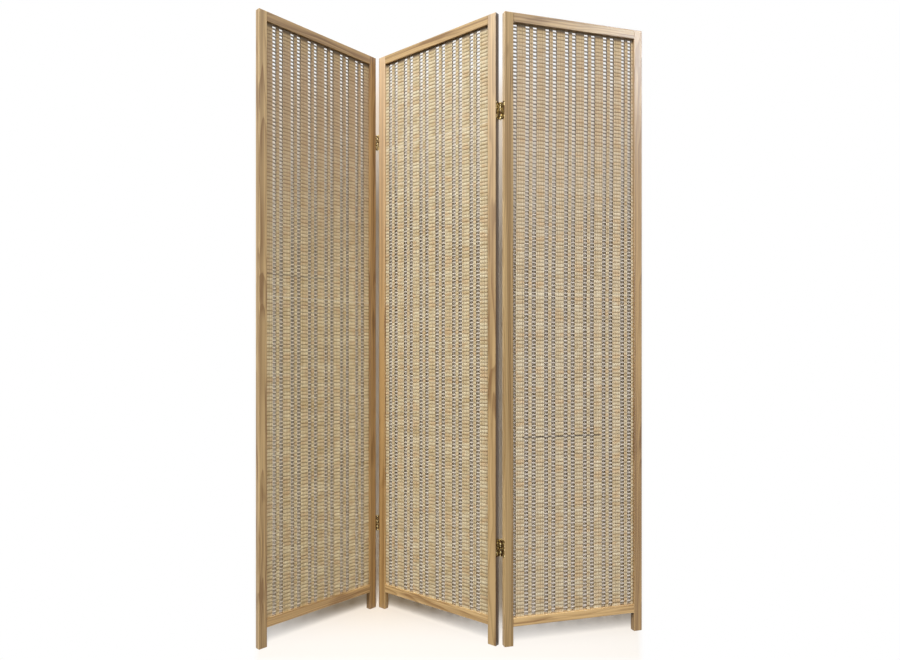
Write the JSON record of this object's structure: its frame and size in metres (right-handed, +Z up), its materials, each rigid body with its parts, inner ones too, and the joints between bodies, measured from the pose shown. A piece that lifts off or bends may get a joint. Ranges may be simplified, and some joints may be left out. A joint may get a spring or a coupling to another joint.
{
  "type": "folding screen",
  "caption": "Free-standing folding screen: pine-framed panels of woven bamboo, hinged edge to edge with brass butt hinges so that they stand in a zigzag and fold flat.",
  "frame": {"origin": "on the floor, at the middle of the footprint's bounding box, with the screen standing in its zigzag", "axes": "+Z up, +X along the middle panel from its left edge to its right, -Y out of the middle panel's front"},
  "size_m": [0.7804, 0.8424, 1.8],
  "materials": {
    "pine": "satin clear lacquer on light pine",
    "beech": "bare beech",
    "bamboo_slat": "matt greyish bamboo",
    "bamboo_strip": "satin tan bamboo",
    "hinge_brass": "aged brass, brighter on its edges",
    "screw_brass": "brass"
  },
  "bodies": {
    "middle_panel": {"left_lower_hinge_middle_leaf": "hinge_brass", "left_lower_hinge_pin": "hinge_brass", "left_upper_hinge_middle_leaf": "hinge_brass", "left_upper_hinge_pin": "hinge_brass", "middle_panel_back_strips": "bamboo_strip", "middle_panel_bottom_rail": "pine", "middle_panel_front_strips": "bamboo_strip", "middle_panel_left_hinge_screws": "screw_brass", "middle_panel_left_stile": "pine", "middle_panel_rail_dowels": "beech", "middle_panel_right_hinge_screws": "screw_brass", "middle_panel_right_stile": "pine", "middle_panel_slats": "bamboo_slat", "middle_panel_top_rail": "pine", "right_lower_hinge_middle_leaf": "hinge_brass", "right_lower_hinge_pin": "hinge_brass", "right_upper_hinge_middle_leaf": "hinge_brass", "right_upper_hinge_pin": "hinge_brass"},
    "left_panel": {"left_lower_hinge_outer_leaf": "hinge_brass", "left_panel_back_strips": "bamboo_strip", "left_panel_bottom_rail": "pine", "left_panel_front_strips": "bamboo_strip", "left_panel_hinge_screws": "screw_brass", "left_panel_left_stile": "pine", "left_panel_rail_dowels": "beech", "left_panel_right_stile": "pine", "left_panel_slats": "bamboo_slat", "left_panel_top_rail": "pine", "left_upper_hinge_outer_leaf": "hinge_brass"},
    "right_panel": {"right_lower_hinge_outer_leaf": "hinge_brass", "right_panel_back_strips": "bamboo_strip", "right_panel_bottom_rail": "pine", "right_panel_front_strips": "bamboo_strip", "right_panel_hinge_screws": "screw_brass", "right_panel_left_stile": "pine", "right_panel_rail_dowels": "beech", "right_panel_right_stile": "pine", "right_panel_slats": "bamboo_slat", "right_panel_top_rail": "pine", "right_upper_hinge_outer_leaf": "hinge_brass"}
  },
  "joints": [
    {"name": "left_fold", "type": "hinge", "parent": "middle_panel", "child": "left_panel", "pos_m": [-0.33353, 0.02794, 0], "axis": [0, 0, 1], "range_deg": [-85.25, 94.75]},
    {"name": "right_fold", "type": "hinge", "parent": "middle_panel", "child": "right_panel", "pos_m": [0.12147, 0.04994, 0], "axis": [0, 0, 1], "range_deg": [-55.85, 124.15]}
  ]
}
